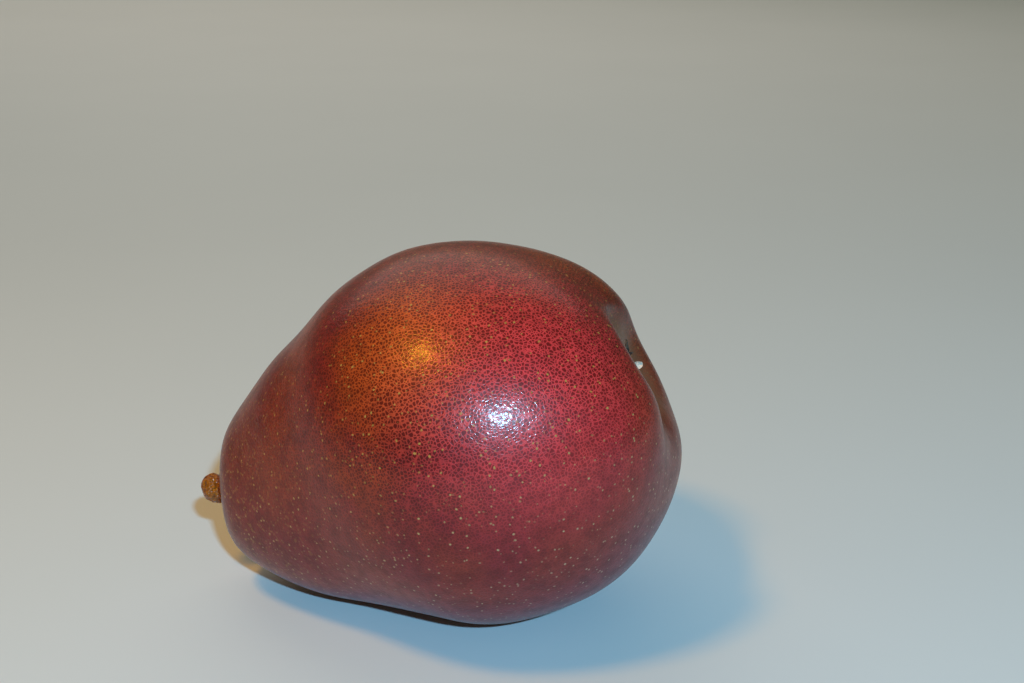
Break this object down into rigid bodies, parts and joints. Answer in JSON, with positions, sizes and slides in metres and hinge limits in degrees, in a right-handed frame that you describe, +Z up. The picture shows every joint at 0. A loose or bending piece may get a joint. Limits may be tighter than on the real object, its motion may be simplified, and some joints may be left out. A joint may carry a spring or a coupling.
{
  "type": "pear",
  "caption": "Ripe red pear lying on its side, with a short woody stem stub and a dried calyx in the hollow of its wide end.",
  "frame": {"origin": "on the surface that the pear lies on, under the middle of its box", "axes": "+Z up; +X along the pear from the stem towards the calyx, whose end is raised; +Y away from the side that the picture shows"},
  "size_m": [0.0932, 0.0744, 0.0696],
  "materials": {
    "skin": "waxy satin fruit skin, deep red, finely pitted, with pale tan breathing spots",
    "stem": "smooth lumpy bark, amber brown, slightly glossy",
    "calyx": "dry, papery, dark brown flower remains"
  },
  "bodies": {
    "root": {"fruit": "skin", "stem": "stem", "calyx": "calyx"}
  },
  "joints": []
}
